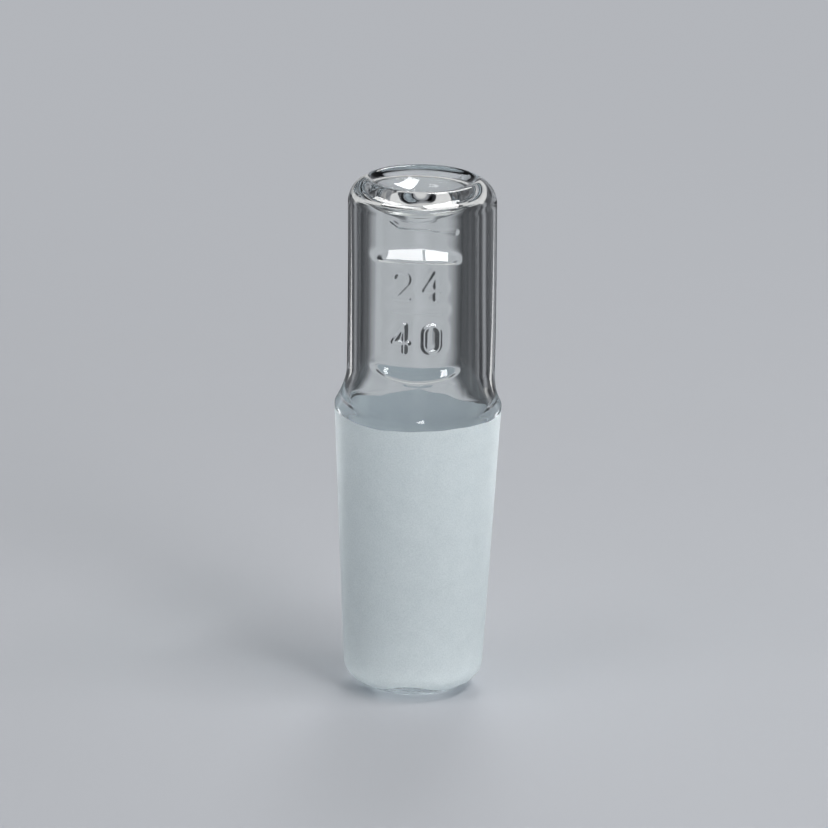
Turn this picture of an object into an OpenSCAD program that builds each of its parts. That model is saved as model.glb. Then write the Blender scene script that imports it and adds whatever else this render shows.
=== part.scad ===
// Hollow blown-glass stopper for a ground conical joint: a clear hollow head with a
// rounded rim and a dished top, a flared shoulder, and a ground cone on a clear foot.
// The whole stopper is one piece of glass with a sealed air space inside.
// Millimetres, +Z up, origin at the middle of the foot on the surface it stands on.
// The moulded size mark faces -Y, turned a few degrees to one side.

/* [Ground joint] */
// Diameter of the ground cone at its large end
joint_d = 24; // [18:0.5:30]
// Length of the ground zone along the axis
joint_l = 40; // [25:1:60]
// Axial length in which the cone's diameter grows by one unit
taper_run = 10; // [8:0.5:14]
// Clear height between the standing surface and the ground zone
foot_clear_h = 2.2; // [1.6:0.1:3]
// Clear height between the ground zone and the shoulder
shoulder_clear_h = 0.4; // [0.1:0.1:2]

/* [Head] */
// Outer diameter of the hollow head
head_d = 21.3; // [16:0.1:28]
// Height of the head, from the shoulder's widest edge to the rim
head_h = 33.5; // [28:0.1:60]
// Rounding of the rim's outer side
rim_r = 3.8; // [3:0.1:5.4]
// Tighter rounding of the rim's crest, where it rolls over into the dish
lip_r = 1; // [0.6:0.1:2.4]
// Depth of the dish in the top, below the rim
dish_depth = 2.4; // [1.6:0.1:3.2]
// Radius of the rounded edge where the shoulder is widest
crown_r = 1; // [0.6:0.1:2]
// Radius of the hollow curve that runs from the shoulder into the head
flare_r = 10.5; // [3:0.5:14]

/* [Glass wall] */
// Thickness of the head's wall
head_wall = 1.9; // [1.2:0.1:2.6]
// Thickness of the ground cone's wall, at right angles to the axis
cone_wall = 1.9; // [1.2:0.1:2.6]
// Thickness of the closed bottom at the axis
bottom_wall = 2.2; // [1.4:0.1:3.4]
// Thickness of the dished top at the axis
top_wall = 3.9; // [2.6:0.1:4.6]
// Rounding inside the head, where its wall meets the top
ceiling_edge_r = 1.1; // [0.6:0.1:1.6]
// Thickness of the rim, from its highest ring down to the air space
rim_wall = 2.5; // [1.8:0.1:3.2]

/* [Foot] */
// Rounding between the cone and the underside
toe_r = 2.6; // [1.8:0.1:3.4]
// Steepest angle at which the underside rises from the foot ring to the toe
under_turn = 30; // [10:1:36]
// Outer diameter of the flat ring that the stopper stands on
foot_ring_d = 8.4; // [7:0.1:10]
// Width of that flat ring
foot_ring_w = 1.6; // [0.8:0.1:2.5]
// Rounding between the ring and the underside
foot_edge_r = 6; // [1:0.5:8]
// Height of the hollow pushed up inside the foot ring
push_up_h = 0.7; // [0.3:0.1:1.2]

/* [Size mark] */
// Height by which the moulded mark stands proud of the head
mark_raise = 0.3; // [0.15:0.05:0.5]
// Turn of the mark about the axis, from straight in front
mark_turn = -4; // [-180:1:180]
// Distance from the middle of the head's straight stretch down to the mark's middle
mark_drop = 1.1; // [0:0.1:2]
// Distance from the divider to the upper and the lower rib
rib_offset = 9.2; // [7.6:0.1:12]
// Width of both ribs across the head
rib_w = 11; // [8:0.2:13]
// Thickness of both ribs
rib_t = 1.3; // [0.8:0.1:2]
// Height by which a rib's middle stands past its ends
rib_bow = 0.8; // [0.2:0.1:1.5]
// Height of a numeral
digit_h = 4.4; // [3.4:0.1:5]
// Width of a numeral
digit_w = 2.6; // [2:0.1:3.2]
// Width of a numeral's strokes and of the divider
stroke_w = 0.6; // [0.4:0.05:0.9]
// Distance from one numeral's middle to the next
digit_pitch = 4.4; // [3.6:0.1:5]
// Distance from the divider to the middle of either row of numerals
row_offset = 3.9; // [3:0.1:4.2]

/* [Hidden] */
$fn = 96;

// Heights above the standing surface
cone_top_z = foot_clear_h + joint_l;
crown_z = cone_top_z + shoulder_clear_h;
rim_z = crown_z + head_h;

// Outer radii. The rim's outer rounding turns by rim_turn before the tighter lip takes over.
slope = 0.5 / taper_run;
head_r = head_d / 2;
joint_r = joint_d / 2;
rim_turn = 70;
crest_r = head_r - rim_r + (rim_r - lip_r) * cos(rim_turn);
function cone_r(z) = joint_r + (z - cone_top_z) * slope;
crown_outer_r = cone_r(crown_z);
lean = atan(slope);

// The toe is an arc that meets both the cone and the sloping underside at a tangent. The
// underside runs on at the same slope to the rounded edge of the foot ring.
foot_out_r = foot_ring_d / 2;
foot_in_r = foot_out_r - foot_ring_w;
toe_z = (
    toe_r * cos(under_turn) + foot_edge_r * (1 - cos(under_turn))
    + tan(under_turn) * (cone_r(0) - toe_r / cos(lean)
        + (toe_r - foot_edge_r) * sin(under_turn) - foot_out_r)
) / (1 - tan(under_turn) * slope);
toe_x = cone_r(toe_z) - toe_r / cos(lean);

// The shoulder turns towards the head's wall by this angle and back again
shoulder_turn = acos(1 - abs(crown_outer_r - head_r) / (crown_r + flare_r));
flare_top_z = crown_z + (crown_r + flare_r) * sin(shoulder_turn);

// The mark sits near the middle of the straight stretch of the head. The sleeve of glass that
// it stands on reaches from halfway up the shoulder to the top of that stretch.
straight_top_z = rim_z - lip_r - (rim_r - lip_r) * sin(rim_turn);
mark_z = (flare_top_z + straight_top_z) / 2 - mark_drop;
sleeve_foot_z = (crown_z + flare_top_z) / 2;

// The air space follows the outside at the wall's thickness
bore_r = head_r - head_wall;
bore_floor_z = bottom_wall + push_up_h;
bore_corner_r = toe_r * 1.6;
bore_corner_z = bore_floor_z + bore_corner_r;
bore_corner_x = cone_r(bore_corner_z) - cone_wall - bore_corner_r / cos(lean);
bore_top_z = rim_z - rim_wall;
dish_z = rim_z - dish_depth;
ceiling_z = dish_z - top_wall;

// Steepest turn of the dish and of the ceiling under it, in degrees
dish_turn = 32;
ceiling_turn = 50;

// Points along an arc about (x, z), from one angle to another
function arc(x, z, r, from, to, steps = 12) =
    [for (i = [0:steps]) let (a = from + (to - from) * i / steps) [x + r * cos(a), z + r * sin(a)]];

// Points of an S-shaped wall of two arcs, upright at both ends, that turns by the given angle
function s_wall(x0, z0, r0, x1, z1, r1, turn, steps = 8) =
    let (side = sign(x0 - x1))
    concat(
        [for (i = [0:steps]) let (a = turn * i / steps) [x0 - side * r0 * (1 - cos(a)), z0 + r0 * sin(a)]],
        [for (i = [1:steps]) let (a = turn * (1 - i / steps))
            [x1 + side * r1 * (1 - cos(a)), z1 - r1 * sin(a)]]
    );

// Points of a smooth rise from (x0, z0) to (x1, z1), level at both ends
function ease(x0, z0, x1, z1, steps = 8) =
    [for (i = [0:steps]) let (t = i / steps)
        [x0 + (x1 - x0) * t, z0 + (z1 - z0) * (1 - cos(180 * t)) / 2]];

// The same smooth turn for a wall that is upright at both ends
function ease_up(x0, z0, x1, z1, steps = 10) =
    [for (i = [1:steps]) let (t = i / steps)
        [x0 + (x1 - x0) * (1 - cos(180 * t)) / 2, z0 + (z1 - z0) * t]];

// A round top edge of radius r, from the angle of the wall outside it over and down into a
// bowl. The bowl has a small level middle at height z_mid and grows from there as a power of
// the radius, chosen so that it leaves the edge at the given turn.
function edge_and_bowl(x, z, r, wall_angle, turn, z_mid, steps = 12) =
    let (
        end_x = x - r * sin(turn),
        level_x = end_x / steps,
        rise = z + r * cos(turn) - z_mid,
        power = tan(turn) * (end_x - level_x) / rise
    )
    concat(
        arc(x, z, r, wall_angle, 90 + turn, steps),
        [for (i = [1:steps]) let (t = 1 - i / steps)
            [level_x + (end_x - level_x) * t, z_mid + rise * pow(t, power)]],
        [[0, z_mid]]
    );

function outside() = concat(
    [[0, push_up_h]],
    ease(foot_in_r / 3, push_up_h, foot_in_r, 0),
    arc(foot_out_r, foot_edge_r, foot_edge_r, -90, under_turn - 90),
    arc(toe_x, toe_z, toe_r, under_turn - 90, -lean),
    [[joint_r, cone_top_z]],
    s_wall(crown_outer_r, crown_z, crown_r, head_r, flare_top_z, flare_r, shoulder_turn),
    arc(head_r - rim_r, straight_top_z, rim_r, 0, rim_turn - 5, 13),
    edge_and_bowl(crest_r, rim_z - lip_r, lip_r, rim_turn, dish_turn, dish_z)
);

function air_space() = concat(
    [[0, bore_floor_z]],
    arc(bore_corner_x, bore_corner_z, bore_corner_r, -90, -lean, 8),
    [[joint_r - cone_wall, cone_top_z]],
    ease_up(joint_r - cone_wall, cone_top_z, bore_r, flare_top_z),
    edge_and_bowl(bore_r - ceiling_edge_r, bore_top_z - ceiling_edge_r, ceiling_edge_r, 0,
        ceiling_turn, ceiling_z)
);

module blown_wall() {
    difference() {
        rotate_extrude() polygon(outside());
        rotate_extrude() polygon(air_space());
    }
}

// A line of points given a width: one side there and the other side back
function along(p, i) = let (a = max(i - 1, 0), b = min(i + 1, len(p) - 1), d = p[b] - p[a]) d / norm(d);
function edge_of(p, i) = let (d = p[i + 1] - p[i]) d / norm(d);
function shifted(p, w) =
    [for (i = [0:len(p) - 1])
        let (d = along(p, i), e = edge_of(p, min(i, len(p) - 2)), across = [-d.y, d.x])
        p[i] + across * w / max(d * e, 0.6)];
function stroke(p, w) =
    let (one = shifted(p, w / 2), other = shifted(p, -w / 2))
    concat(one, [for (i = [len(p) - 1:-1:0]) other[i]]);

// A numeral's drawing is digit_w wide and digit_h high about its own middle
half_w = (digit_w - stroke_w) / 2;
half_h = (digit_h - stroke_w) / 2;

module numeral_two() {
    polygon(stroke(concat(arc(0, half_h - half_w, half_w, 170, -35, 8), [[-half_w, -half_h]]), stroke_w));
    translate([-digit_w / 2, -digit_h / 2]) square([digit_w, stroke_w]);
}

module numeral_four() {
    polygon(stroke([[half_w / 2, half_h], [-half_w, -half_h / 3]], stroke_w));
    translate([-digit_w / 2, -half_h / 3 - stroke_w / 2]) square([digit_w, stroke_w]);
    translate([half_w / 2 - stroke_w / 2, -digit_h / 2]) square([stroke_w, digit_h]);
}

module numeral_zero() {
    polygon(stroke(arc(0, half_h - half_w, half_w, 0, 180, 10), stroke_w));
    polygon(stroke(arc(0, half_w - half_h, half_w, 180, 360, 10), stroke_w));
    for (side = [-1, 1])
        translate([side * half_w - stroke_w / 2, half_w - half_h])
            square([stroke_w, 2 * (half_h - half_w)]);
}

// A rib bows away from the divider, and its ends are rounded
rib_bow_r = (rib_w * rib_w / 4 + rib_bow * rib_bow) / (2 * rib_bow);
rib_span = asin(rib_w / 2 / rib_bow_r);
function rib_end(angle, from, steps = 6) =
    [for (i = [1:steps - 1]) let (a = from + 180 * i / steps)
        rib_bow_r * [cos(angle), sin(angle)] + rib_t / 2 * [cos(a), sin(a)]];
function rib_outline() =
    let (right = 90 - rib_span, left = 90 + rib_span)
    concat(
        arc(0, 0, rib_bow_r + rib_t / 2, right, left),
        rib_end(left, left),
        arc(0, 0, rib_bow_r - rib_t / 2, left, right),
        rib_end(right, right - 180)
    );
module rib() {
    translate([0, rib_offset - rib_bow_r]) polygon(rib_outline());
}

module size_mark_drawing() {
    for (side = [0, 1]) mirror([0, side]) rib();
    square([digit_pitch + digit_w, stroke_w / 2], center = true);
    translate([0, row_offset]) {
        translate([-digit_pitch / 2, 0]) numeral_two();
        translate([digit_pitch / 2, 0]) numeral_four();
    }
    translate([0, -row_offset]) {
        translate([-digit_pitch / 2, 0]) numeral_four();
        translate([digit_pitch / 2, 0]) numeral_zero();
    }
}

// The drawing is carried straight back into a thin sleeve of the head's own glass
module size_mark() {
    difference() {
        intersection() {
            translate([0, 0, sleeve_foot_z])
                cylinder(r = head_r + mark_raise, h = straight_top_z - sleeve_foot_z);
            rotate(mark_turn) translate([0, 0, mark_z]) rotate([90, 0, 0])
                linear_extrude(height = head_d) size_mark_drawing();
        }
        cylinder(r = head_r - head_wall / 2, h = rim_z);
    }
}

module stopper() {
    color([0.80, 0.88, 0.90, 0.6]) {
        blown_wall();
        size_mark();
    }
}

stopper();
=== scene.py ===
"""A hollow blown-glass stopper with a ground conical joint, standing on a pale floor.

The stopper is one closed mesh of two surfaces: the outside of the glass, and the wall of the
sealed air space inside it. Both are profiles carried round the axis. Millimetres are used
for every size below and turned into metres where the mesh is made.
"""

import math

import bpy
import numpy as np
from mathutils import Matrix, Vector


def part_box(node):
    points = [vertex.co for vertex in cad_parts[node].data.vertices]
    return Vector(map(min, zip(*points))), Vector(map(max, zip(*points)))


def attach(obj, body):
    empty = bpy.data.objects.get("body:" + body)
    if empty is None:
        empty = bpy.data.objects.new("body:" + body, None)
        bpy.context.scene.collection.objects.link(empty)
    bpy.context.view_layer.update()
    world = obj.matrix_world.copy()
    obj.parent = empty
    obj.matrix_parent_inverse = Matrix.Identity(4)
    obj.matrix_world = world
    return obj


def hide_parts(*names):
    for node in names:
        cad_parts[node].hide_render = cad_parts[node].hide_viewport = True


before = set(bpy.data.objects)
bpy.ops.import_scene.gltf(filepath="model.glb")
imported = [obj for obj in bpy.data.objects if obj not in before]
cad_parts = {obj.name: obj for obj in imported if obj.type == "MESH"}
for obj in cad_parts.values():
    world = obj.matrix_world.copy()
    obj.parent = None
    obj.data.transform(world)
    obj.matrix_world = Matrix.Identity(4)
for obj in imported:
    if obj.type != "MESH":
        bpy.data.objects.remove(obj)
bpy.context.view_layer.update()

bl_info = {
    "name": "Glass stopper",
    "version": (1, 0, 0),
    "blender": (4, 5, 0),
    "location": "View3D > Sidebar > Stopper",
    "description": "Builds a hollow glass stopper with a ground cone, and the stage it stands on",
    "category": "Object",
}

MM = 0.001
GLASS_IOR = 1.473
FRAME_WIDTH = 0.1193  # width of the view at the shoulder, in metres
NODE = "stopper"
NODE_LOW, NODE_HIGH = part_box(NODE)


# ---------------------------------------------------------------- settings


class StopperSizes(bpy.types.PropertyGroup):
    """Sizes of the glass, in millimetres."""

    height: bpy.props.FloatProperty(
        name="Height", description="Height from the standing surface to the rim",
        default=(NODE_HIGH[2] - NODE_LOW[2]) / MM, min=60, max=110)
    joint_diameter: bpy.props.FloatProperty(
        name="Joint diameter", description="Ground cone's diameter at its large end",
        default=24.0, min=18, max=30)
    joint_length: bpy.props.FloatProperty(
        name="Joint length", description="Length of the ground zone along the axis",
        default=40.0, min=25, max=60)
    foot_clear: bpy.props.FloatProperty(
        name="Clear foot", description="Clear height below the ground zone",
        default=2.2, min=1.6, max=3)
    shoulder_clear: bpy.props.FloatProperty(
        name="Clear shoulder", description="Clear height between the ground zone and the shoulder",
        default=0.4, min=0.1, max=2)
    head_diameter: bpy.props.FloatProperty(
        name="Head diameter", description="Outer diameter of the hollow head",
        default=21.3, min=16, max=28)
    rim_radius: bpy.props.FloatProperty(
        name="Rim rounding", description="Rounding of the rim's outer side",
        default=3.8, min=3, max=5.4)
    lip_radius: bpy.props.FloatProperty(
        name="Lip rounding", description="Tighter rounding where the rim rolls over into the dish",
        default=1.0, min=0.6, max=2.4)
    dish_depth: bpy.props.FloatProperty(
        name="Dish depth", description="Depth of the dish below the rim",
        default=2.4, min=1.6, max=3.2)
    wall: bpy.props.FloatProperty(
        name="Wall", description="Thickness of the head's and the cone's wall",
        default=1.9, min=1.2, max=2.6)
    top_wall: bpy.props.FloatProperty(
        name="Top wall", description="Thickness of the dished top at the axis",
        default=3.9, min=2.6, max=4.6)
    rim_wall: bpy.props.FloatProperty(
        name="Rim wall", description="Thickness from the rim's crest down to the air space",
        default=2.5, min=1.8, max=3.2)
    bottom_wall: bpy.props.FloatProperty(
        name="Bottom wall", description="Thickness of the closed bottom at the axis",
        default=2.2, min=1.4, max=3.4)
    toe_radius: bpy.props.FloatProperty(
        name="Toe rounding", description="Rounding between the cone and the underside",
        default=2.6, min=1.8, max=3.4)
    foot_diameter: bpy.props.FloatProperty(
        name="Foot diameter", description="Outer diameter of the flat ring it stands on",
        default=8.4, min=7, max=10)
    bore_shift: bpy.props.FloatProperty(
        name="Bore shift", description="How far the head's air space stands to one side",
        default=-0.35, min=-0.6, max=0.6)
    head_shift: bpy.props.FloatProperty(
        name="Head shift", description="How far the head stands to one side of the cone",
        default=0.3, min=-0.6, max=0.6)


class SizeMark(bpy.types.PropertyGroup):
    """Sizes of the moulded size mark, in millimetres and degrees."""

    turn: bpy.props.FloatProperty(
        name="Turn", description="Turn of the mark about the axis, in degrees",
        default=-4.0, min=-180, max=180)
    raised: bpy.props.FloatProperty(
        name="Numeral height", description="How far the numerals stand proud",
        default=0.26, min=0.1, max=0.5)
    rib_raised: bpy.props.FloatProperty(
        name="Rib height", description="How far the two ribs stand proud",
        default=0.95, min=0.1, max=1.2)
    pressed: bpy.props.FloatProperty(
        name="Pressed glass", description="How far the inner wall bulges behind the mark",
        default=0.3, min=0.0, max=0.6)


class GlassColours(bpy.types.PropertyGroup):
    """Colours of the clear and the ground glass."""

    clear: bpy.props.FloatVectorProperty(
        name="Clear glass", description="Colour of the clear glass", subtype="COLOR",
        size=4, default=(0.975, 0.99, 0.985, 1.0), min=0, max=1)
    ground_light: bpy.props.FloatVectorProperty(
        name="Ground, light", description="Lighter tone of the ground surface", subtype="COLOR",
        size=4, default=(0.86, 0.937, 0.955, 1.0), min=0, max=1)
    ground_dark: bpy.props.FloatVectorProperty(
        name="Ground, dark", description="Darker tone of the ground surface", subtype="COLOR",
        size=4, default=(0.725, 0.806, 0.828, 1.0), min=0, max=1)


class StageSettings(bpy.types.PropertyGroup):
    """Floor, backdrop and camera."""

    floor: bpy.props.FloatVectorProperty(
        name="Floor", description="Colour of the floor and backdrop", subtype="COLOR",
        size=4, default=(0.45, 0.465, 0.495, 1.0), min=0, max=1)
    flag: bpy.props.FloatVectorProperty(
        name="Surround", description="Colour of the dark bands that draw the glass's edges",
        subtype="COLOR", size=4, default=(0.045, 0.047, 0.052, 1.0), min=0, max=1)
    elevation: bpy.props.FloatProperty(
        name="Camera elevation", description="Angle by which the camera looks down",
        subtype="ANGLE", default=math.radians(16.7), min=0, max=1.5)
    distance: bpy.props.FloatProperty(
        name="Camera distance", description="Distance from the camera to the shoulder",
        subtype="DISTANCE", unit="LENGTH", default=0.9, min=0.3, max=3)
    roll: bpy.props.FloatProperty(
        name="Camera roll", description="Roll of the camera", subtype="ANGLE",
        default=math.radians(1.15), min=-0.2, max=0.2)


# ---------------------------------------------------------------- profiles


def arc(x, z, radius, start, end, steps=48):
    """Points of an arc about (x, z): centre plus radius times the cosine and sine of the angle."""
    a = np.radians(np.linspace(start, end, steps + 1))
    return np.stack([x + radius * np.cos(a), z + radius * np.sin(a)], axis=1)


def ease(start, end, upright=False, steps=32):
    """A smooth step between two points: one coordinate goes evenly, the other as half a cosine."""
    t = np.linspace(0, 1, steps + 1)
    soft = (1 - np.cos(np.pi * t)) / 2
    tx, tz = (soft, t) if upright else (t, soft)
    (x0, z0), (x1, z1) = start, end
    return np.stack([x0 + (x1 - x0) * tx, z0 + (z1 - z0) * tz], axis=1)


def edge_and_bowl(x, z, radius, wall_angle, turn, z_mid, steps=40):
    """A round top edge that rolls over by the given turn into a bowl, whose height above its
    middle grows as a power of the distance from the axis and leaves the edge at that turn."""
    end_x = x - radius * math.sin(math.radians(turn))
    rise = z + radius * math.cos(math.radians(turn)) - z_mid
    power = math.tan(math.radians(turn)) * end_x / rise
    t = np.linspace(1, 0, steps + 1)
    bowl = np.stack([end_x * t, z_mid + rise * t**power], axis=1)
    return np.concatenate([arc(x, z, radius, wall_angle, 90 + turn), bowl])


class Glass:
    """The stopper's derived heights and radii, in millimetres, worked out from the settings."""

    def __init__(self, s):
        self.s = s
        self.slope = 0.05
        self.cone_top = s.foot_clear + s.joint_length
        self.crown_z = self.cone_top + s.shoulder_clear
        self.joint_r = s.joint_diameter / 2
        self.head_r = s.head_diameter / 2
        self.lean = math.degrees(math.atan(self.slope))
        self.under_turn, self.foot_edge = 30, 6.0
        self.foot_out = s.foot_diameter / 2
        self.foot_ring, self.push_up = 1.6, 0.7
        self.foot_in = self.foot_out - self.foot_ring
        self.place_toe()
        self.crown_round, self.flare_round = 1.0, 10.5
        step = self.cone_r(self.crown_z) - self.head_r
        self.turn = math.degrees(math.acos(1 - step / (self.crown_round + self.flare_round)))
        rise = (self.crown_round + self.flare_round) * math.sin(math.radians(self.turn))
        self.flare_top = self.crown_z + rise
        self.rim_turn = 70
        over = s.rim_radius - s.lip_radius
        self.straight_top = s.height - s.lip_radius - over * math.sin(math.radians(self.rim_turn))
        self.crest = self.head_r - s.rim_radius + over * math.cos(math.radians(self.rim_turn))
        self.mark_drop = 1.1
        self.mark_z = (self.flare_top + self.straight_top) / 2 - self.mark_drop
        self.bore_r = self.head_r - s.wall
        self.floor_z = s.bottom_wall + self.push_up

    def cone_r(self, z):
        return self.joint_r + (z - self.cone_top) * self.slope

    def place_toe(self):
        """Middle of the toe's arc, which meets the cone and the sloping underside at a tangent."""
        turn, toe = math.radians(self.under_turn), self.s.toe_radius
        across = toe / math.cos(math.radians(self.lean))
        run = self.cone_r(0) - across + (toe - self.foot_edge) * math.sin(turn) - self.foot_out
        rise = toe * math.cos(turn) + self.foot_edge * (1 - math.cos(turn)) + math.tan(turn) * run
        self.toe_z = rise / (1 - math.tan(turn) * self.slope)
        self.toe_x = self.cone_r(self.toe_z) - across

    def outside(self):
        """The outer profile, from the middle of the foot round to the middle of the dish."""
        s = self.s
        crown = self.cone_r(self.crown_z)
        low = self.under_turn - 90
        return np.concatenate([
            [[0, self.push_up]],
            ease((self.foot_in / 3, self.push_up), (self.foot_in, 0)),
            arc(self.foot_out, self.foot_edge, self.foot_edge, -90, low),
            arc(self.toe_x, self.toe_z, s.toe_radius, low, -self.lean),
            [[self.joint_r, self.cone_top]],
            arc(crown - self.crown_round, self.crown_z, self.crown_round, 0, self.turn),
            arc(self.head_r + self.flare_round, self.flare_top, self.flare_round,
                180 + self.turn, 180),
            arc(self.head_r - s.rim_radius, self.straight_top, s.rim_radius, 0, self.rim_turn),
            edge_and_bowl(self.crest, s.height - s.lip_radius, s.lip_radius, self.rim_turn, 32,
                          s.height - s.dish_depth),
        ])

    def air_space(self):
        """The air space's profile, from the middle of its floor to the middle of its ceiling."""
        s = self.s
        corner = s.toe_radius * 1.6
        corner_z = self.floor_z + corner
        corner_x = self.cone_r(corner_z) - s.wall - corner / math.cos(math.radians(self.lean))
        cone_in = (self.joint_r - s.wall, self.cone_top)
        edge = 1.1
        ceiling = s.height - s.dish_depth - s.top_wall
        return np.concatenate([
            [[0, self.floor_z]],
            arc(corner_x, corner_z, corner, -90, -self.lean),
            ease(cone_in, (self.bore_r, self.flare_top), upright=True),
            edge_and_bowl(self.bore_r - edge, s.height - s.rim_wall - edge, edge, 0, 50, ceiling),
        ])


def spread(outline, bands, spacing):
    """Distances along an outline at which rings stand: `spacing` apart, or as close as each band
    (from height, to height, spacing) says where the outline runs between those heights."""
    step = np.hypot(*np.diff(outline, axis=0).T)
    keep = np.concatenate([[True], step > 1e-6])
    outline, step = outline[keep], step[keep[1:]]
    along = np.concatenate([[0], np.cumsum(step)])
    fine = np.linspace(0, along[-1], 20001)
    z = np.interp(fine, along, outline[:, 1])
    pace = np.full(fine.shape, 1 / spacing)
    for low, high, band in bands:
        pace[(z >= low) & (z <= high)] = 1 / band
    count = np.concatenate([[0], np.cumsum((pace[1:] + pace[:-1]) / 2 * np.diff(fine))])
    rings = np.interp(np.linspace(0, count[-1], int(count[-1]) + 1), count, fine)
    return outline, along, rings


def polyline_distance(x, z, points):
    """Distance from each (x, z) to a polyline: the least distance to any of its segments."""
    best = np.full(x.shape, np.inf)
    for (ax, az), (bx, bz) in zip(points[:-1], points[1:]):
        dx, dz = bx - ax, bz - az
        t = np.clip(((x - ax) * dx + (z - az) * dz) / (dx * dx + dz * dz), 0, 1)
        best = np.minimum(best, np.hypot(x - ax - t * dx, z - az - t * dz))
    return best


def bead(distance, width, height):
    """A soft ridge: half a cosine of the distance from its middle line, `height` tall."""
    return height * (1 + np.cos(np.pi * np.clip(2 * distance / width, 0, 1))) / 2


def numeral(kind, half_w=1.05, half_h=1.95):
    """Middle lines of a numeral's strokes, about its own middle."""
    if kind == 2:
        bowl = arc(0, half_h - half_w, half_w, 170, -35, 10)
        return [np.concatenate([bowl, [[-half_w, -half_h], [half_w, -half_h]]])]
    if kind == 4:
        return [
            np.array([[half_w / 2, half_h], [-half_w, -half_h / 3], [half_w, -half_h / 3]]),
            np.array([[half_w / 2, half_h], [half_w / 2, -half_h]]),
        ]
    top = arc(0, half_h - half_w, half_w, 0, 180, 10)
    low = arc(0, half_w - half_h, half_w, 180, 360, 10)
    return [np.concatenate([top, low, top[:1]])]


RIB_WIDTH = 11.0
ROW_OFFSET, NUMERAL_PITCH = 3.9, 4.4
# each rib: its crest's height above the mark's middle, how far the crest's ends rise, the length
# of its upper slope, how much that changes at the ends, and its share of the full height
RIBS = ((7.75, -0.35, 1.75, -0.6, 1.0), (-10.0, 1.0, 1.75, -1.0, 0.75))
RIB_FALL = 0.6
# a fine fold in the glass above the upper rib: points (across, height above the mark's middle)
FOLD = ((-3.6, 13.2), (-2.6, 12.5), (1.5, 12.4), (5.4, 11.6))
FOLD_WIDTH, FOLD_RAISED = 0.9, 0.17
STROKE_WIDTH = 1.0
# how far the upper and the lower row of numerals stand out, as shares of the numeral height
UPPER_ROW, LOWER_ROW = 0.5, 1.15

# unevenness of the ground zone's upper edge: the middle of a stretch and half its width in
# degrees, the width over which it fades out, and how far the edge rises there
EDGE_STEPS = ((-116, 42, 42, -0.36), (76, 41, 5, 0.4), (60, 24, 24, 0.35), (128, 22, 22, -0.15))
# how the ground zone's lower edge climbs: by CLIMB along the outline all round, less in three
# stretches, each given by its middle and half its width in degrees and the share taken off
CLIMB = 3.3
FOOT_WINDOWS = ((-92, 62, 1.2), (38, 44, 0.8), (155, 52, 0.95))


def rib_height(x, z):
    """Height of the two ribs at (x, z), about the mark's middle, as a share of their full height.
    A rib's upper side is a straight slope up to its crest, and it falls off quickly below, as a
    smooth step. Crest and slope bend with the square of x, and the rib fades out at its ends."""
    bend = (x / (RIB_WIDTH / 2)) ** 2
    total = np.zeros(x.shape)
    for crest, bow, flank, narrowing, share in RIBS:
        above = (z - crest - bow * bend) / (flank + narrowing * bend)
        slope = np.clip(1 - above, 0, 1)
        fall = smooth(1 + (z - crest - bow * bend) / RIB_FALL)
        total = np.maximum(total, share * slope * fall)
    return total * smooth((RIB_WIDTH / 2 + 0.8 - np.abs(x)) / 2.4)


def numeral_distance(x, z):
    """Distance from (x, z), about the mark's middle, to the numerals and the divider."""
    half = (NUMERAL_PITCH + 2.6) / 2
    nearest = polyline_distance(x, z, [(-half, 0), (half, 0)]) + 0.12
    for row, kinds in ((1, (2, 4)), (-1, (4, 0))):
        for side, kind in zip((-1, 1), kinds):
            for line in numeral(kind):
                place = line + [side * NUMERAL_PITCH / 2, row * ROW_OFFSET]
                nearest = np.minimum(nearest, polyline_distance(x, z, place))
    return nearest


def waves(angle, z, seed, size):
    """Slow hand-made unevenness, drawn out along the axis: a few cosines of the angle and the
    height with random phases."""
    rng = np.random.default_rng(seed)
    total = np.zeros(np.broadcast(angle, z).shape)
    for turns in (1, 2, 3, 5):
        for length, share in ((90.0, 0.6), (38.0, 0.3), (17.0, 0.1)):
            a, b = rng.uniform(0, 2 * np.pi, 2)
            total += share * np.cos(turns * angle + a) * np.cos(2 * np.pi * z / length + b) / turns
    return total * size


def columns(near, far, half_span):
    """Angles of the mesh's columns, in radians: `near` degrees apart in front, up to `half_span`
    degrees to either side, and `far` degrees apart elsewhere."""
    front = np.arange(-half_span, half_span + near / 2, near)
    rest = np.linspace(half_span, 360 - half_span, int((360 - 2 * half_span) / far) + 1)[1:-1]
    return np.radians(np.concatenate([front, rest]) - 90)


def smooth(t):
    """Goes from 0 to 1 as t does, with level ends: three times t squared less twice t cubed."""
    t = np.clip(t, 0, 1)
    return t * t * (3 - 2 * t)


def degrees_from(angle, middle):
    """How far each angle, in radians, is from a middle given in degrees: 0 to 180 degrees."""
    return np.abs(np.degrees(np.angle(np.exp(1j * (angle - math.radians(middle))))))


def side_shift(g, z):
    """Sideways place of the glass at a height: the head stands a little to one side of the cone
    and leans back towards its axis."""
    onto = smooth((z - g.crown_z - 0.3) / (g.flare_top - g.crown_z))
    up = np.clip((z - g.flare_top) / (g.s.height - g.flare_top), 0, 1)
    return g.s.head_shift * onto * (1 - up * up)


def climb(outline, along, z):
    """Distance along the outline at which its outer side, from the foot to the rim, reaches z."""
    first = np.flatnonzero(outline[:, 1] < 1e-6).max()
    last = outline[:, 1].argmax()
    return np.interp(z, outline[first:last, 1], along[first:last])


def outline_at(outline, along, at):
    """The outline's radius and height at the given distances along it."""
    return np.interp(at, along, outline[:, 0]), np.interp(at, along, outline[:, 1])


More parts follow.
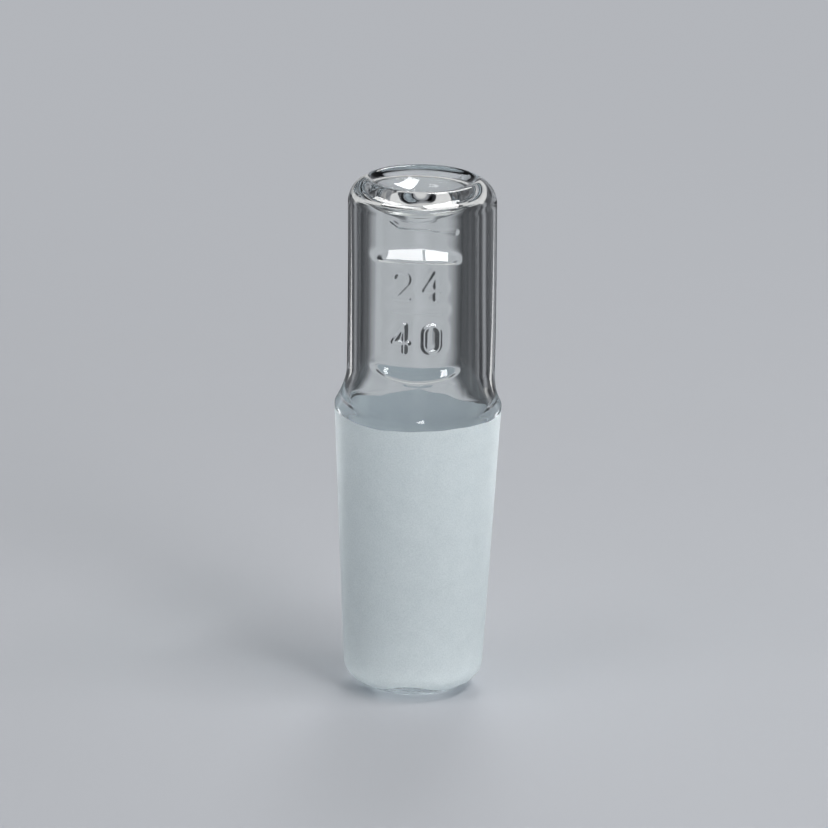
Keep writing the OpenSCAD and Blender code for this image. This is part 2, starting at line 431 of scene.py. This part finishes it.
def outer_surface(g, mark):
    """The outside of the glass: its profile carried round the axis, with the moulded mark and the
    fold raised on the head and fine ripples on the foot. The rings near the ground zone's upper
    and lower edge follow their unevenness. Returns the grid of points and, for each gap between
    rings, whether it is ground."""
    s = g.s
    bands = [
        (-1, 4.5, 0.22), (4.5, g.cone_top - 2, 0.9), (g.cone_top - 2, g.flare_top, 0.17),
        (g.flare_top, g.mark_z - 10.8, 0.3), (g.mark_z - 10.8, g.mark_z + 13.8, 0.16),
        (g.mark_z + 13.8, g.straight_top, 0.3),
    ]
    outline, along, rings = spread(g.outside(), bands, 0.26)
    low, high = climb(outline, along, s.foot_clear), climb(outline, along, g.cone_top)
    for edge in (low, high):
        rings[np.abs(rings - edge).argmin()] = edge
    ground = (rings[:-1] > low - 0.01) & (rings[1:] < high + 0.01)

    angle = columns(0.85, 2.6, 36)
    uneven = 0.04 * np.cos(7 * angle + 0.4) + 0.03 * np.cos(17 * angle) - 0.12
    for middle, half, soft, lift in EDGE_STEPS:
        uneven += lift * smooth((half - degrees_from(angle, middle)) / soft)
    near_edge = np.exp(-(((rings - high) / 1.3) ** 2))
    at = rings[:, None] + near_edge[:, None] * uneven[None, :]
    base = climb(outline, along, 0.0)
    give = smooth((at - base) / (low - base)) * smooth((base + 15 - at) / (base + 15 - low))
    reach = np.ones(angle.shape)
    for middle, half, share in FOOT_WINDOWS:
        reach -= share * smooth(1 - degrees_from(angle, middle) / half)
    at -= CLIMB * give * reach[None, :]
    radius, z = outline_at(outline, along, at)

    facing = angle[None, :] + math.pi / 2 - math.radians(mark.turn)
    front = (np.cos(facing) > 0.55) & (z > g.flare_top) & (z < g.straight_top)
    x_mark, z_mark = (radius * np.sin(facing))[front], (z - g.mark_z)[front]
    numerals = bead(numeral_distance(x_mark, z_mark), STROKE_WIDTH, mark.raised)
    numerals = numerals * np.where(z_mark > 0, UPPER_ROW, LOWER_ROW)
    fold = bead(polyline_distance(x_mark, z_mark, FOLD), FOLD_WIDTH, FOLD_RAISED)
    radius[front] += np.maximum(mark.rib_raised * rib_height(x_mark, z_mark), numerals + fold)
    foot = smooth((3.6 - z) / 1.5) * smooth(radius / 3)
    ripple = 0.04 * np.cos(13 * angle + 0.7) + 0.03 * np.cos(23 * angle + 2.1 + 2 * z)
    radius += foot * (ripple + 0.05 * np.cos(7 * z + 1.5 * np.cos(3 * angle)))
    fade = smooth(radius / 6)
    radius += fade * waves(angle[None, :], z, 11, 0.02) * smooth(z - g.crown_z)

    radius = np.minimum(radius, min(NODE_HIGH[1], -NODE_LOW[0]) / MM)
    x = radius * np.cos(angle) + side_shift(g, z)
    return np.stack([x, radius * np.sin(angle), z], axis=2), ground


def inner_surface(g, mark):
    """The wall of the air space: its profile carried round the axis, unevenly thick, standing a
    little to one side, pressed inwards behind the moulded mark, and faintly rippled in rings on
    the ceiling."""
    s = g.s
    bands = [
        (g.floor_z - 1, g.floor_z + 3, 0.3), (g.floor_z + 3, g.cone_top - 3, 1.2),
        (g.cone_top - 3, g.flare_top, 0.3), (g.flare_top, g.straight_top, 0.34),
    ]
    outline, along, rings = spread(g.air_space(), bands, 0.16)
    angle = columns(1.7, 3.2, 42)
    radius, z = outline_at(outline, along, np.repeat(rings[:, None], len(angle), axis=1))

    facing = angle[None, :] + math.pi / 2 - math.radians(mark.turn)
    front = (np.cos(facing) > 0.5) & (z > g.flare_top - 2) & (z < g.straight_top)
    x_mark, z_mark = (radius * np.sin(facing))[front], (z - g.mark_z)[front]
    behind = rib_height(x_mark, z_mark) + 0.5 * bead(numeral_distance(x_mark, z_mark), 3.0, 1.0)
    radius[front] -= mark.pressed * behind
    head = smooth((z - g.crown_z) / 4)
    radius += smooth(radius / 6) * waves(angle[None, :], z, 5, 0.08) * (0.3 + 0.7 * head)

    rippled = (z > g.straight_top - 2) * smooth((7.6 - radius) / 1.5) * smooth(radius / 2)
    z = z + 0.06 * rippled * np.cos(2 * math.pi * radius / 1.8 + 0.4 * np.cos(2 * angle))
    x = radius * np.cos(angle) + side_shift(g, z) + s.bore_shift * head
    return np.stack([x, radius * np.sin(angle), z], axis=2)


def closed_faces(rings, count, offset, inward):
    """Faces of a surface of rings closed by a pole at each end: quads between rings, a fan of
    triangles at each pole. The vertices are the first pole, the rings in order, the last pole."""
    j = np.arange(count)
    k = (j + 1) % count
    ring = offset + 1 + np.arange(rings - 1)[:, None] * count
    quads = np.stack([ring + j, ring + k, ring + count + k, ring + count + j], axis=2)
    quads = quads.reshape(-1, 4)
    last = offset + 1 + (rings - 1) * count
    start = np.stack([np.full(count, offset), offset + 1 + k, offset + 1 + j], axis=1)
    end = np.stack([last + j, last + k, np.full(count, last + count)], axis=1)
    if inward:
        quads, start, end = quads[:, ::-1], start[:, ::-1], end[:, ::-1]
    return quads, start, end


def glass_mesh(name, outer, ground, inner):
    """One mesh of both surfaces, in metres: the outside facing out and the air space's wall facing
    the air. Faces of the ground zone take the second material."""
    vertices, faces, materials, offset = [], [], [], 0
    for grid, inward, zone in ((outer, False, ground), (inner, True, None)):
        body = grid[1:-1]
        rings, count = body.shape[:2]
        quads, start, end = closed_faces(rings, count, offset, inward)
        points = np.concatenate([grid[0, :1], body.reshape(-1, 3), grid[-1, :1]])
        vertices.append(points)
        faces += [start.tolist(), quads.tolist(), end.tolist()]
        between = np.zeros(rings - 1, int) if zone is None else zone[1:-1].astype(int)
        materials += [np.zeros(count, int), np.repeat(between, count), np.zeros(count, int)]
        offset += len(points)
    mesh = bpy.data.meshes.new(name)
    faces = [face for group in faces for face in group]
    mesh.from_pydata((np.concatenate(vertices) * MM).tolist(), [], faces)
    mesh.polygons.foreach_set("material_index", np.concatenate(materials))
    mesh.polygons.foreach_set("use_smooth", np.ones(len(mesh.polygons), bool))
    mesh.update()
    mesh.validate()
    return mesh


# ---------------------------------------------------------------- materials


def new_material(name):
    """An empty node material with its output."""
    material = bpy.data.materials.new(name)
    material.use_nodes = True
    material.node_tree.nodes.clear()
    return material, material.node_tree.nodes, material.node_tree.links


def lets_lamps_through(nodes, links, shader, tint):
    """Joins a glass shader to the output so that a lamp's light passes it, tinted, as through
    real glass: a shadow ray sees a transparent surface."""
    path = nodes.new("ShaderNodeLightPath")
    clear = nodes.new("ShaderNodeBsdfTransparent")
    clear.inputs["Color"].default_value = tint
    mix = nodes.new("ShaderNodeMixShader")
    output = nodes.new("ShaderNodeOutputMaterial")
    links.new(path.outputs["Is Shadow Ray"], mix.inputs["Fac"])
    links.new(shader.outputs[0], mix.inputs[1])
    links.new(clear.outputs[0], mix.inputs[2])
    links.new(mix.outputs[0], output.inputs["Surface"])


def clear_glass(look):
    """Fire-polished borosilicate glass."""
    material, nodes, links = new_material("clear_glass")
    shader = nodes.new("ShaderNodeBsdfPrincipled")
    shader.inputs["Base Color"].default_value = look.clear
    shader.inputs["Roughness"].default_value = 0.0
    shader.inputs["IOR"].default_value = GLASS_IOR
    shader.inputs["Transmission Weight"].default_value = 1.0
    lets_lamps_through(nodes, links, shader, (0.86, 0.88, 0.88, 1))
    return material


def ground_glass(look):
    """Finely ground glass: part of the light goes through blurred and part is scattered back. Its
    tone and roughness vary in fine grains, and a fine bump breaks up its sheen. Seen from inside
    the glass the ground side has painted shade, its colour darkened, and a faint painted glow: an
    emission that stands in for the light that comes through it."""
    material, nodes, links = new_material("ground_glass")
    shader = nodes.new("ShaderNodeBsdfPrincipled")
    coords = nodes.new("ShaderNodeTexCoord")
    grain = nodes.new("ShaderNodeTexNoise")
    grain.inputs["Scale"].default_value = 5200.0
    grain.inputs["Detail"].default_value = 2.0
    cloud = nodes.new("ShaderNodeTexNoise")
    cloud.inputs["Scale"].default_value = 420.0
    cloud.inputs["Detail"].default_value = 4.0
    both = nodes.new("ShaderNodeMath")
    both.operation = "MULTIPLY_ADD"
    both.inputs[1].default_value = 0.75
    share = nodes.new("ShaderNodeMath")
    share.operation = "MULTIPLY"
    share.inputs[1].default_value = 0.25
    tone = nodes.new("ShaderNodeValToRGB")
    tone.color_ramp.elements[0].position = 0.32
    tone.color_ramp.elements[0].color = look.ground_dark
    tone.color_ramp.elements[1].position = 0.66
    tone.color_ramp.elements[1].color = look.ground_light
    rough = nodes.new("ShaderNodeMapRange")
    rough.inputs["To Min"].default_value = 0.5
    rough.inputs["To Max"].default_value = 0.66
    bump = nodes.new("ShaderNodeBump")
    bump.inputs["Strength"].default_value = 0.25
    bump.inputs["Distance"].default_value = 0.00004
    for noise in (grain, cloud):
        links.new(coords.outputs["Object"], noise.inputs["Vector"])
    links.new(cloud.outputs["Fac"], share.inputs[0])
    links.new(grain.outputs["Fac"], both.inputs[0])
    links.new(share.outputs[0], both.inputs[2])
    links.new(both.outputs[0], tone.inputs["Fac"])
    side = nodes.new("ShaderNodeNewGeometry")
    # Painted shade: the ground side seen from inside the glass has its colour darkened by a
    # multiply.
    inside_painted_shade = nodes.new("ShaderNodeMix")
    inside_painted_shade.data_type = "RGBA"
    inside_painted_shade.blend_type = "MULTIPLY"
    inside_painted_shade.inputs["B"].default_value = (0.27, 0.282, 0.305, 1)
    links.new(side.outputs["Backfacing"], inside_painted_shade.inputs["Factor"])
    links.new(tone.outputs["Color"], inside_painted_shade.inputs["A"])
    links.new(inside_painted_shade.outputs["Result"], shader.inputs["Base Color"])
    # Painted light: the ground side seen from inside the glass glows faintly, an emission in place
    # of the light that comes through it.
    inside_painted_glow = nodes.new("ShaderNodeMix")
    inside_painted_glow.data_type = "RGBA"
    inside_painted_glow.inputs["A"].default_value = (0, 0, 0, 1)
    inside_painted_glow.inputs["B"].default_value = (0.044, 0.049, 0.054, 1)
    links.new(side.outputs["Backfacing"], inside_painted_glow.inputs["Factor"])
    links.new(inside_painted_glow.outputs["Result"], shader.inputs["Emission Color"])
    shader.inputs["Emission Strength"].default_value = 1.0
    links.new(grain.outputs["Fac"], rough.inputs["Value"])
    links.new(rough.outputs["Result"], shader.inputs["Roughness"])
    links.new(grain.outputs["Fac"], bump.inputs["Height"])
    links.new(bump.outputs["Normal"], shader.inputs["Normal"])
    shader.inputs["IOR"].default_value = GLASS_IOR
    shader.inputs["Transmission Weight"].default_value = 0.3
    lets_lamps_through(nodes, links, shader, (0.3, 0.32, 0.33, 1))
    return material


# ---------------------------------------------------------------- stage


def grid_mesh(name, points):
    """An open surface from a grid of points, in metres."""
    rows, count = points.shape[:2]
    index = np.arange(rows * count).reshape(rows, count)
    quads = np.stack([index[:-1, :-1], index[:-1, 1:], index[1:, 1:], index[1:, :-1]], axis=2)
    mesh = bpy.data.meshes.new(name)
    mesh.from_pydata(points.reshape(-1, 3).tolist(), [], quads.reshape(-1, 4).tolist())
    mesh.update()
    thing = bpy.data.objects.new(name, mesh)
    bpy.context.scene.collection.objects.link(thing)
    return thing


def seen_only_by(thing, kinds):
    """Hides a thing of the stage from every kind of ray but the named ones."""
    for ray in ("camera", "diffuse", "glossy", "transmission", "shadow", "volume_scatter"):
        setattr(thing, "visible_" + ray, ray in kinds)


def floor_material(colour):
    """A pale floor that takes the object's shadow. Further out it goes over to the backdrop's even
    colour, so that no horizon shows."""
    material, nodes, links = new_material("pale_floor")
    near = nodes.new("ShaderNodeBsdfDiffuse")
    near.inputs["Color"].default_value = colour
    far = nodes.new("ShaderNodeEmission")
    far.inputs["Color"].default_value = colour
    coords = nodes.new("ShaderNodeTexCoord")
    length = nodes.new("ShaderNodeVectorMath")
    length.operation = "LENGTH"
    fade = nodes.new("ShaderNodeMapRange")
    fade.interpolation_type = "SMOOTHSTEP"
    fade.inputs["From Min"].default_value = 0.1
    fade.inputs["From Max"].default_value = 0.4
    mix = nodes.new("ShaderNodeMixShader")
    output = nodes.new("ShaderNodeOutputMaterial")
    links.new(coords.outputs["Object"], length.inputs[0])
    links.new(length.outputs["Value"], fade.inputs["Value"])
    links.new(fade.outputs["Result"], mix.inputs["Fac"])
    links.new(near.outputs[0], mix.inputs[1])
    links.new(far.outputs[0], mix.inputs[2])
    links.new(mix.outputs[0], output.inputs["Surface"])
    return material


def build_world(colour, level):
    """Even light from all round. Camera rays see the backdrop's even colour; glossy and
    transmission rays see it too, growing darker overhead."""
    world = bpy.data.worlds.new("studio")
    bpy.context.scene.world = world
    world.use_nodes = True
    nodes, links = world.node_tree.nodes, world.node_tree.links
    nodes.clear()
    light = nodes.new("ShaderNodeBackground")
    light.inputs["Color"].default_value = (1, 1, 1, 1)
    light.inputs["Strength"].default_value = level
    seen = nodes.new("ShaderNodeBackground")
    coords = nodes.new("ShaderNodeTexCoord")
    axes = nodes.new("ShaderNodeSeparateXYZ")
    height = nodes.new("ShaderNodeMapRange")
    height.interpolation_type = "SMOOTHSTEP"
    height.inputs["From Min"].default_value = 0.05
    height.inputs["From Max"].default_value = 0.4
    shade = nodes.new("ShaderNodeMix")
    shade.data_type = "RGBA"
    shade.inputs["A"].default_value = colour
    shade.inputs["B"].default_value = [c * 0.15 for c in colour[:3]] + [1]
    path = nodes.new("ShaderNodeLightPath")
    overhead = nodes.new("ShaderNodeMath")
    overhead.operation = "SUBTRACT"
    overhead.use_clamp = True
    links.new(coords.outputs["Generated"], axes.inputs[0])
    links.new(axes.outputs["Z"], height.inputs["Value"])
    links.new(height.outputs["Result"], overhead.inputs[0])
    links.new(path.outputs["Is Camera Ray"], overhead.inputs[1])
    links.new(overhead.outputs[0], shade.inputs["Factor"])
    links.new(shade.outputs["Result"], seen.inputs["Color"])
    first = nodes.new("ShaderNodeMath")
    second = nodes.new("ShaderNodeMath")
    for node in (first, second):
        node.operation = "MAXIMUM"
    mix = nodes.new("ShaderNodeMixShader")
    output = nodes.new("ShaderNodeOutputWorld")
    links.new(path.outputs["Is Camera Ray"], first.inputs[0])
    links.new(path.outputs["Is Glossy Ray"], first.inputs[1])
    links.new(first.outputs[0], second.inputs[0])
    links.new(path.outputs["Is Transmission Ray"], second.inputs[1])
    links.new(second.outputs[0], mix.inputs["Fac"])
    links.new(light.outputs[0], mix.inputs[1])
    links.new(seen.outputs[0], mix.inputs[2])
    links.new(mix.outputs[0], output.inputs["Surface"])


def softbox(name, place, aim, width, depth, power, unseen=()):
    """A rectangular soft lamp that faces the point it is aimed at. The named kinds of ray don't
    see the lamp itself, only its light."""
    data = bpy.data.lights.new(name, "AREA")
    data.shape = "RECTANGLE"
    data.size, data.size_y, data.energy = width, depth, power
    lamp = bpy.data.objects.new(name, data)
    direction = Vector(aim) - Vector(place)
    turn = direction.to_track_quat("-Z", "Y").to_matrix().to_4x4()
    lamp.matrix_world = Matrix.Translation(place) @ turn
    bpy.context.scene.collection.objects.link(lamp)
    for ray in unseen:
        setattr(lamp, "visible_" + ray, False)


def bright_card(name, middle, across, over, strength, seen_by):
    """A bright flat card, given by its middle and half of each side. Only the named kinds of ray
    see it, so it shows in glass and gloss and lights nothing else."""
    middle, across, over = (np.array(v, float) for v in (middle, across, over))
    grid = np.array([[middle + u * across + v * over for u in (-1, 1)] for v in (-1, 1)])
    card = grid_mesh(name, grid)
    seen_only_by(card, seen_by)
    material, nodes, links = new_material(name)
    bright = nodes.new("ShaderNodeEmission")
    bright.inputs["Strength"].default_value = strength
    output = nodes.new("ShaderNodeOutputMaterial")
    links.new(bright.outputs[0], output.inputs["Surface"])
    card.data.materials.append(material)


def floor_bounce(inner, outer, strength):
    """A flat ring on the floor round the foot that shines upwards only, as a shiny floor throws
    light back. It lights the foot's rounding and is itself unseen."""
    angle = np.radians(np.linspace(0, 360, 49))
    ring = np.stack([np.cos(angle), np.sin(angle), np.zeros_like(angle)], axis=1)
    bounce = grid_mesh("floor_bounce", np.stack([ring * outer, ring * inner]) + [0, 0, 0.0004])
    seen_only_by(bounce, ("diffuse",))
    material, nodes, links = new_material("floor_bounce")
    bright = nodes.new("ShaderNodeEmission")
    bright.inputs["Strength"].default_value = strength
    clear = nodes.new("ShaderNodeBsdfTransparent")
    side = nodes.new("ShaderNodeNewGeometry")
    mix = nodes.new("ShaderNodeMixShader")
    output = nodes.new("ShaderNodeOutputMaterial")
    links.new(side.outputs["Backfacing"], mix.inputs["Fac"])
    links.new(bright.outputs[0], mix.inputs[1])
    links.new(clear.outputs[0], mix.inputs[2])
    links.new(mix.outputs[0], output.inputs["Surface"])
    bounce.data.materials.append(material)


def window(name, direction, elevation, width, height, strength, distance=0.6):
    """A bright pane that faces the head from the given direction, in degrees from straight in
    front, and elevation, in degrees, and shows only as its reflection."""
    turn, rise = math.radians(direction), math.radians(elevation)
    away = np.array([
        math.sin(turn) * math.cos(rise), -math.cos(turn) * math.cos(rise), math.sin(rise)])
    across = np.array([math.cos(turn), math.sin(turn), 0])
    bright_card(name, away * distance + [0, 0, 0.06], across * width / 2,
                np.cross(away, across) * height / 2, strength, ("glossy",))


def dark_surround(colour, radius=0.12, height=0.1):
    """An upright ring round the object that is dark in eight broad, soft-edged bands and clear
    between them. It is seen only in the glass, where it draws the dark bands along the edges;
    neither the camera nor the lamps see it."""
    angle = np.radians(np.linspace(0, 360, 97))
    x, y = radius * np.cos(angle), radius * np.sin(angle)
    rows = [np.stack([x, y, np.full_like(x, z)], axis=1) for z in (0.0005, height)]
    surround = grid_mesh("surround", np.stack(rows))
    seen_only_by(surround, ("glossy", "transmission"))

    material, nodes, links = new_material("dark_surround")
    coords = nodes.new("ShaderNodeTexCoord")
    axes = nodes.new("ShaderNodeSeparateXYZ")
    turn = nodes.new("ShaderNodeMath")
    turn.operation = "ARCTAN2"
    waves_in = []
    for times in (4.0, 8.0):
        product, wave = nodes.new("ShaderNodeMath"), nodes.new("ShaderNodeMath")
        product.operation, wave.operation = "MULTIPLY", "COSINE"
        product.inputs[1].default_value = times
        links.new(turn.outputs[0], product.inputs[0])
        links.new(product.outputs[0], wave.inputs[0])
        waves_in.append(wave)
    total = nodes.new("ShaderNodeMath")
    total.operation = "MULTIPLY_ADD"
    total.inputs[1].default_value = 0.5
    band = nodes.new("ShaderNodeMapRange")
    band.interpolation_type = "SMOOTHSTEP"
    band.inputs["From Min"].default_value = -0.2
    band.inputs["From Max"].default_value = 1.0
    band.inputs["To Min"].default_value = 1.0
    band.inputs["To Max"].default_value = 0.0
    clear = nodes.new("ShaderNodeBsdfTransparent")
    dark = nodes.new("ShaderNodeEmission")
    dark.inputs["Color"].default_value = colour
    mix = nodes.new("ShaderNodeMixShader")
    output = nodes.new("ShaderNodeOutputMaterial")
    links.new(coords.outputs["Object"], axes.inputs[0])
    links.new(axes.outputs["Y"], turn.inputs[0])
    links.new(axes.outputs["X"], turn.inputs[1])
    links.new(waves_in[0].outputs[0], total.inputs[0])
    links.new(waves_in[1].outputs[0], total.inputs[2])
    links.new(total.outputs[0], band.inputs["Value"])
    links.new(band.outputs["Result"], mix.inputs["Fac"])
    links.new(clear.outputs[0], mix.inputs[1])
    links.new(dark.outputs[0], mix.inputs[2])
    links.new(mix.outputs[0], output.inputs["Surface"])
    surround.data.materials.append(material)


# ---------------------------------------------------------------- operators


class STOPPER_OT_glass(bpy.types.Operator):
    """Build the stopper's glass: outside, air space, moulded mark and ground zone"""

    bl_idname = "stopper.glass"
    bl_label = "Build the glass"

    def execute(self, context):
        scene = context.scene
        g = Glass(scene.stopper_sizes)
        outer, ground = outer_surface(g, scene.stopper_mark)
        inner = inner_surface(g, scene.stopper_mark)
        mesh = glass_mesh("stopper_glass", outer, ground, inner)
        piece = bpy.data.objects.new("stopper_glass", mesh)
        scene.collection.objects.link(piece)
        mesh.materials.append(clear_glass(scene.stopper_colours))
        mesh.materials.append(ground_glass(scene.stopper_colours))
        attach(piece, "root")
        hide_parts(NODE)
        return {"FINISHED"}


class STOPPER_OT_stage(bpy.types.Operator):
    """Build the pale floor, the dark surround, the lamps and the camera"""

    bl_idname = "stopper.stage"
    bl_label = "Build the stage"

    def execute(self, context):
        scene = context.scene
        stage = scene.stopper_stage
        span = np.linspace(-6, 6, 3)
        x, y = np.meshgrid(span, span)
        floor = grid_mesh("floor", np.stack([x, y, np.zeros_like(x)], axis=2))
        floor.data.materials.append(floor_material(stage.floor))
        build_world(stage.floor, level=0.25)

        dark_surround(stage.flag)
        window("window_right", 40, 49, 0.5, 0.25, 18.0)
        window("window_left", -32, 43, 0.8, 0.1, 14.0)
        window("window_side", -74, 46, 0.5, 0.12, 14.0)
        window("window_back", 168, 45, 0.09, 0.3, 9.0)
        bright_card("pale_back", (0, 0.35, 0.29), (0.34, 0, 0), (0, 0, 0.15), 0.7,
                    ("transmission",))

        for name, side in (("edge_left", -1), ("edge_right", 1)):
            bright_card(name, (side * 0.12, 0.2, 0.001), (0.03, -side * 0.012, 0),
                        (side * 0.05, 0.13, 0), 5.0, ("glossy",))

        middle = (0, 0, 0.05)
        lamp_only = ("glossy", "transmission")
        softbox("key_box", (0.34, -0.2, 0.686), middle, 0.5, 0.1, 2.8)
        softbox("fill_box", (-0.42, -0.3, 0.66), middle, 0.35, 0.12, 0.9)
        softbox("right_box", (0.4, -0.57, 0.36), middle, 0.25, 0.3, 1.75, lamp_only)
        softbox("top_box", (0.06, 0.5, 0.5), middle, 0.2, 0.15, 1.0, lamp_only)
        softbox("back_box", (0.0, 0.8, 0.4), middle, 0.4, 0.15, 1.0, lamp_only)
        floor_bounce(inner=0.0115, outer=0.0155, strength=0.95)

        data = bpy.data.cameras.new("camera")
        data.sensor_width = 36
        data.lens = data.sensor_width * stage.distance / FRAME_WIDTH
        camera = bpy.data.objects.new("camera", data)
        aim = Vector((-0.00055, 0, 0.041))
        back = Vector((0, -math.cos(stage.elevation), math.sin(stage.elevation)))
        turn = back.to_track_quat("Z", "Y").to_matrix() @ Matrix.Rotation(stage.roll, 3, "Z")
        camera.matrix_world = Matrix.Translation(aim + back * stage.distance) @ turn.to_4x4()
        scene.collection.objects.link(camera)
        scene.camera = camera
        scene.view_settings.view_transform = "Standard"
        # light that is guided along inside a glass wall turns many times before it comes out
        scene.cycles.max_bounces = 18
        scene.cycles.glossy_bounces = 10
        scene.cycles.transmission_bounces = 18
        return {"FINISHED"}


class STOPPER_PT_panel(bpy.types.Panel):
    """Lists the settings and the build steps"""

    bl_label = "Glass stopper"
    bl_idname = "STOPPER_PT_panel"
    bl_space_type = "VIEW_3D"
    bl_region_type = "UI"
    bl_category = "Stopper"

    def draw(self, context):
        scene = context.scene
        for group in (getattr(scene, name) for name in SETTINGS):
            box = self.layout.box()
            for key in group.bl_rna.properties.keys():
                if key not in {"rna_type", "name"}:
                    box.prop(group, key)
        self.layout.operator(STOPPER_OT_glass.bl_idname)
        self.layout.operator(STOPPER_OT_stage.bl_idname)


CLASSES = (
    StopperSizes, SizeMark, GlassColours, StageSettings,
    STOPPER_OT_glass, STOPPER_OT_stage, STOPPER_PT_panel,
)
SETTINGS = {
    "stopper_sizes": StopperSizes, "stopper_mark": SizeMark,
    "stopper_colours": GlassColours, "stopper_stage": StageSettings,
}


def register():
    for cls in CLASSES:
        bpy.utils.register_class(cls)
    for name, group in SETTINGS.items():
        setattr(bpy.types.Scene, name, bpy.props.PointerProperty(type=group))


def unregister():
    for name in SETTINGS:
        delattr(bpy.types.Scene, name)
    for cls in reversed(CLASSES):
        bpy.utils.unregister_class(cls)


def main():
    register()
    bpy.ops.stopper.glass()
    bpy.ops.stopper.stage()


if __name__ == "__main__":
    main()
